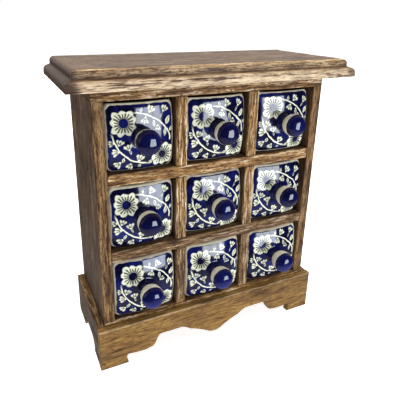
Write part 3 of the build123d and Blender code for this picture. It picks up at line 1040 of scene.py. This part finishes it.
class OBJECT_OT_cabinet_drawers(bpy.types.Operator):
    """Build one glazed drawer and set a copy in each opening"""

    bl_idname = "object.cabinet_drawers"
    bl_label = "Drawers"

    # In metres: fall of the walls below the front, roundings at the back and inside, grid of the front.
    WALL_FALL, BACK_EDGE, HOLLOW_CORNER, HOLLOW_BASE = 0.005, 0.0012, 0.003, 0.002
    GRID = [line * 0.0038 for line in range(-6, 7)]
    PAINTED_DEPTH, PAINTED_LEAN = 0.012, -0.12  # how far back, and on which faces, a drawer is painted

    def execute(self, context):
        finishes = cream_glaze("cream_glaze"), painted_front("painted_glaze")
        copies = set_copies(self.model(), "drawer", "glazed", "glazed_drawer", *finishes)
        for node, piece in copies.items():
            self.paint(piece, corners(node)[0].y)
        return {"FINISHED"}

    def model(self):
        """A pillowed front slab with an open-topped box grown from its back."""
        s = sizes()
        low, high = corners("drawer_middle_middle")
        middle = (low + high) / 2
        slab_back = low.y + s.slab
        piece = block("drawer_pattern", low, (high.x, slab_back, high.z))
        for line in self.GRID:
            cut_at(X, middle.x + line)
            cut_at(Z, middle.z + line)

        def long_arris(item):
            return runs_along(item, Y) and item.calc_face_angle() > SHARP

        round_edges(piece, s.corner, 6, long_arris)
        round_edges(piece, s.edge, 5, lambda item: arris_at(item, Y, low.y))
        self.crown(piece, Vector((middle.x, low.y, middle.z)), s)
        self.box(piece, low, high, slab_back, s)
        return piece

    def crown(self, piece, centre, s):
        """Pillow the front with a spherical proportional move and leave it flat under the knob."""
        pick(piece, "VERT", lambda vert: vert.co.y > centre.y + s.edge + CLEAR)
        bpy.ops.mesh.hide(unselected=False)
        pick(piece, "VERT", lambda vert: (vert.co - centre).length < CLEAR)
        bpy.ops.transform.translate(
            value=(0.0, -s.crown, 0.0),
            use_proportional_edit=True,
            proportional_edit_falloff="SPHERE",
            proportional_size=s.crown,
        )
        bpy.ops.mesh.select_all(action="SELECT")
        bpy.ops.transform.translate(value=(0.0, math.sqrt(s.crown**2 - s.seat**2), 0.0))
        pick(piece, "VERT", lambda vert: vert.co.y < centre.y)
        bpy.ops.transform.resize(value=(1.0, 0.0, 1.0), center_override=centre)
        bpy.ops.mesh.reveal(select=False)

    def box(self, piece, low, high, slab_back, s):
        """Grow the walls from the back of the slab, hollow them and round their lips."""
        wall_top, floor = high.z - self.WALL_FALL, low.z + s.base
        left, right, back = low.x + s.wall, high.x - s.wall, high.y - s.wall
        cut_at(Z, wall_top)
        pick(piece, "FACE", lambda face: face.normal.y > FACING and face.calc_center_median().z < wall_top)
        push_out((0.0, high.y - slab_back, 0.0))
        round_edges(piece, self.BACK_EDGE, 3, lambda item: arris_at(item, Y, high.y))
        cut_at(X, left, right)
        cut_at(Y, back)

        def lid(face):
            spot = face.calc_center_median()
            over = left < spot.x < right and slab_back < spot.y < back
            return over and face.normal.z > FACING and abs(spot.z - wall_top) < TOUCH

        def inner_corner(item):
            spot = middle_of(item)
            near_x = min(abs(spot.x - left), abs(spot.x - right)) < TOUCH
            near_y = min(abs(spot.y - slab_back), abs(spot.y - back)) < TOUCH
            return runs_along(item, Z) and near_x and near_y and floor < spot.z < wall_top

        def rim(item):
            return arris_at(item, Z, wall_top) and middle_of(item).y > slab_back + CLEAR

        pick(piece, "FACE", lid)
        push_out((0.0, 0.0, floor - wall_top))
        round_edges(piece, self.HOLLOW_CORNER, 4, inner_corner)
        round_edges(piece, self.HOLLOW_BASE, 3, lambda item: arris_at(item, Z, floor))
        round_edges(piece, s.lip, 3, rim)
        outward()
        smooth(50.0)

    def paint(self, piece, front):
        """The painted finish, the second one, covers the pillowed front and its rounded edge."""
        for face in piece.data.polygons:
            if face.center.y < front + self.PAINTED_DEPTH and face.normal.y < self.PAINTED_LEAN:
                face.material_index = 1


class OBJECT_OT_cabinet_knobs(bpy.types.Operator):
    """Turn one knob and set a copy on each drawer"""

    bl_idname = "object.cabinet_knobs"
    bl_label = "Knobs"

    # Distance from the drawer front and radius, in millimetres, from the foot to the start of the dome.
    CUP = (
        (0.0, 9.4), (0.2, 8.8), (0.7, 8.0), (1.6, 7.2), (2.9, 6.6), (4.4, 6.4), (5.8, 6.7), (7.2, 7.5),
        (8.6, 8.5), (10.0, 9.25), (11.5, 9.7), (13.2, 9.98), (15.0, 10.14), (16.4, 10.2), (16.8, 10.08),
        (17.0, 9.8),
    )
    # Dome: height, steps, powers that swell it along and across, and the radius that closes it.
    DOME_HEIGHT, DOME_STEPS, SWELL_ALONG, SWELL_ACROSS, CREST = 7.0, 12, 0.86, 0.80, 0.05
    SIDES = 64

    def execute(self, context):
        finish = knob_glaze("knob_glaze")
        set_copies(self.model(), "knob", "turned", "glazed_knob", finish)
        return {"FINISHED"}

    def profile(self):
        """The turned line from the foot to the crest of the dome."""
        line = list(self.CUP)
        start, radius = line[-1]
        for step in range(1, self.DOME_STEPS + 1):
            a = math.pi / 2 * step / self.DOME_STEPS
            reach = start + self.DOME_HEIGHT * math.sin(a) ** self.SWELL_ALONG
            line.append((reach, radius * math.cos(a) ** self.SWELL_ACROSS))
        return line

    def model(self):
        low, high = corners("knob_middle_middle")
        axis = (low + high) / 2
        axis.y = corners("drawer_middle_middle")[0].y
        line = self.profile()
        clear_selection()
        bpy.ops.mesh.primitive_circle_add(
            vertices=self.SIDES, radius=line[0][1] * MM, location=axis, rotation=(math.pi / 2, 0.0, 0.0)
        )
        piece = bpy.context.object
        piece.name = piece.data.name = "knob_pattern"
        apply_place()
        bpy.ops.object.mode_set(mode="EDIT")
        bpy.ops.mesh.select_all(action="SELECT")
        bpy.ops.mesh.select_mode(type="EDGE")
        for (reach, radius), (new_reach, new_radius) in zip(line, line[1:]):
            push_out((0.0, (reach - new_reach) * MM, 0.0))
            if new_radius < self.CREST:
                bpy.ops.mesh.merge(type="CENTER")
            else:
                ratio = new_radius / radius
                bpy.ops.transform.resize(
                    value=(ratio, 1.0, ratio), center_override=(axis.x, axis.y - new_reach * MM, axis.z)
                )
        pick(piece, "EDGE", lambda item: item.is_boundary)
        bpy.ops.mesh.edge_face_add()
        outward()
        smooth(60.0)
        return piece


class OBJECT_OT_cabinet_stage(bpy.types.Operator):
    """Lay the pale floor and set the lights and the camera"""

    bl_idname = "object.cabinet_stage"
    bl_label = "Stage"

    # Soft lights in metres and watts: name, place, width, height and power; and the height they aim at.
    SOFT_LIGHTS = (
        ("overhead_light", (0.1, 0.12, 1.5), 1.7, 1.7, 36.0),
        ("front_light", (0.9, -1.5, 0.15), 1.1, 0.3, 15.0),
    )
    SOFT_AIM = 0.12
    # Window: distance, turn from the front and between panes; width, height, power and aim of a pane.
    WINDOW_FAR, WINDOW_TURN, PANE_TURN = 2.5, math.radians(24.0), 0.150
    PANE_WIDTH, PANE_HEIGHT, PANE_POWER, PANE_AIM = 0.36, 1.5, 19.0, 0.13

    def execute(self, context):
        self.floor()
        self.sky(context.scene)
        self.window()
        for name, spot, width, height, power in self.SOFT_LIGHTS:
            light = self.panel(name, spot, self.SOFT_AIM, width, height, power)
            light.visible_glossy = False
        self.camera(context.scene)
        context.scene.view_settings.view_transform = "Standard"
        return {"FINISHED"}

    def floor(self):
        clear_selection()
        bpy.ops.mesh.primitive_plane_add(size=12.0)
        ground = bpy.context.object
        ground.name = "floor"
        f, (x, y, z) = new_finish("floor_paint")
        grain = f.noise((x / 60.0, y / 60.0, z))
        far = f.length(f.join(x, y, 0.0)).rise(250.0, 900.0)
        paint = f.surface(
            f.mix(grain, "floor", "chalk"),
            0.7 + grain * 0.1,
            Specular_IOR_Level=0.0,
            Emission_Color=f.mix(far, "glow", "white"),
            Emission_Strength=1.0,
        )
        ground.data.materials.append(paint)
        ground.visible_glossy = False

    def sky(self, scene):
        """White to look at, dim as a light, and in reflections pale below the horizon and behind."""
        scene.world = bpy.data.worlds.new("studio")
        f = Finish(scene.world)
        _, y, z = f.split(f.add("ShaderNodeTexCoord", out="Generated"))
        pale = z.rise(-0.40, -0.62) * 0.55 + y.rise(-0.1, 0.5) * z.rise(-0.05, 0.05) * 1.1 + 0.05
        mirrored = f.add("ShaderNodeBackground", Strength=pale)
        ambient = f.add("ShaderNodeBackground", Color="ambient", Strength=0.22)
        seen = f.add("ShaderNodeBackground", Color="white", Strength=1.0)
        glossy, camera = (f.add("ShaderNodeLightPath", out=f"Is {ray} Ray") for ray in ("Glossy", "Camera"))
        lit = f.add("ShaderNodeMixShader", None, glossy, ambient, mirrored)
        f.add("ShaderNodeOutputWorld", None, f.add("ShaderNodeMixShader", None, camera, lit, seen))

    def window(self):
        """Three tall panes to the right of the front, which the glaze mirrors."""
        pane_look = self.PANE_AIM, self.PANE_WIDTH, self.PANE_HEIGHT, self.PANE_POWER
        for pane in (-1, 0, 1):
            angle = self.WINDOW_TURN + pane * self.PANE_TURN
            spot = (math.sin(angle) * self.WINDOW_FAR, -math.cos(angle) * self.WINDOW_FAR, 0.0)
            light = self.panel(f"window_pane_{pane + 2}", spot, *pane_look)
            light.data.color = colour("daylight")[:3]
            light.visible_diffuse = False

    def panel(self, name, spot, aim, width, height, power):
        """A flat light, unseen itself, turned to a height above the origin."""
        clear_selection()
        bpy.ops.object.light_add(type="AREA", location=spot)
        light = bpy.context.object
        light.name = name
        light.data.energy = power
        light.data.shape = "RECTANGLE"
        light.data.size = width
        light.data.size_y = height
        light.rotation_euler = (Vector((0.0, 0.0, aim)) - Vector(spot)).to_track_quat("-Z", "Y").to_euler()
        light.visible_camera = False
        return light

    def camera(self, scene):
        """The photograph's viewpoint, with its focal length and optical axis in pixels of a square frame."""
        spot = Vector((-0.17440, -0.34498, 0.30971))
        yaw, pitch, roll = -0.43785, -0.33974, 0.01439
        side, focal, axis_x, axis_y = 400.0, 426.5, 189.1, 162.0
        sensor = 36.0
        flat = math.cos(pitch)
        ahead = Vector((-math.sin(yaw) * flat, math.cos(yaw) * flat, math.sin(pitch)))
        level = Vector((math.cos(yaw), math.sin(yaw), 0.0))
        rise = level.cross(ahead)
        right = level * math.cos(roll) + rise * math.sin(roll)
        up = rise * math.cos(roll) - level * math.sin(roll)
        clear_selection()
        bpy.ops.object.camera_add(location=spot)
        eye = bpy.context.object
        eye.name = "photo_camera"
        eye.rotation_euler = Matrix((right, up, -ahead)).transposed().to_euler()
        eye.data.sensor_width = sensor
        eye.data.lens = focal * sensor / side
        eye.data.shift_x = (side / 2 - axis_x) / side
        eye.data.shift_y = (axis_y - side / 2) / side
        eye.data.clip_start = 0.01
        eye.data.clip_end = 30.0
        scene.camera = eye


class VIEW3D_PT_cabinet(bpy.types.Panel):
    """Sidebar panel that lists the cabinet's operators"""

    bl_idname = "VIEW3D_PT_cabinet"
    bl_label = "Drawer Cabinet"
    bl_space_type = "VIEW_3D"
    bl_region_type = "UI"
    bl_category = "Cabinet"

    def draw(self, context):
        for operator in OPERATORS:
            self.layout.operator(operator.bl_idname)
        for group in (context.scene.cabinet_sizes, context.scene.cabinet_colours):
            box = self.layout.box()
            for key in group.bl_rna.properties.keys():
                if key not in ("rna_type", "name"):
                    box.prop(group, key)


OPERATORS = (
    OBJECT_OT_cabinet_top,
    OBJECT_OT_cabinet_case,
    OBJECT_OT_cabinet_plinth,
    OBJECT_OT_cabinet_fixings,
    OBJECT_OT_cabinet_drawers,
    OBJECT_OT_cabinet_knobs,
    OBJECT_OT_cabinet_stage,
)
CLASSES = (CabinetSizes, CabinetColours, *OPERATORS, VIEW3D_PT_cabinet)


def register():
    for cls in CLASSES:
        bpy.utils.register_class(cls)
    bpy.types.Scene.cabinet_sizes = bpy.props.PointerProperty(type=CabinetSizes)
    bpy.types.Scene.cabinet_colours = bpy.props.PointerProperty(type=CabinetColours)


def unregister():
    del bpy.types.Scene.cabinet_colours
    del bpy.types.Scene.cabinet_sizes
    for cls in reversed(CLASSES):
        bpy.utils.unregister_class(cls)


def main():
    register()
    for operator in OPERATORS:
        group, name = operator.bl_idname.split(".")
        getattr(getattr(bpy.ops, group), name)()
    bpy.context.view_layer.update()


if __name__ == "__main__":
    main()
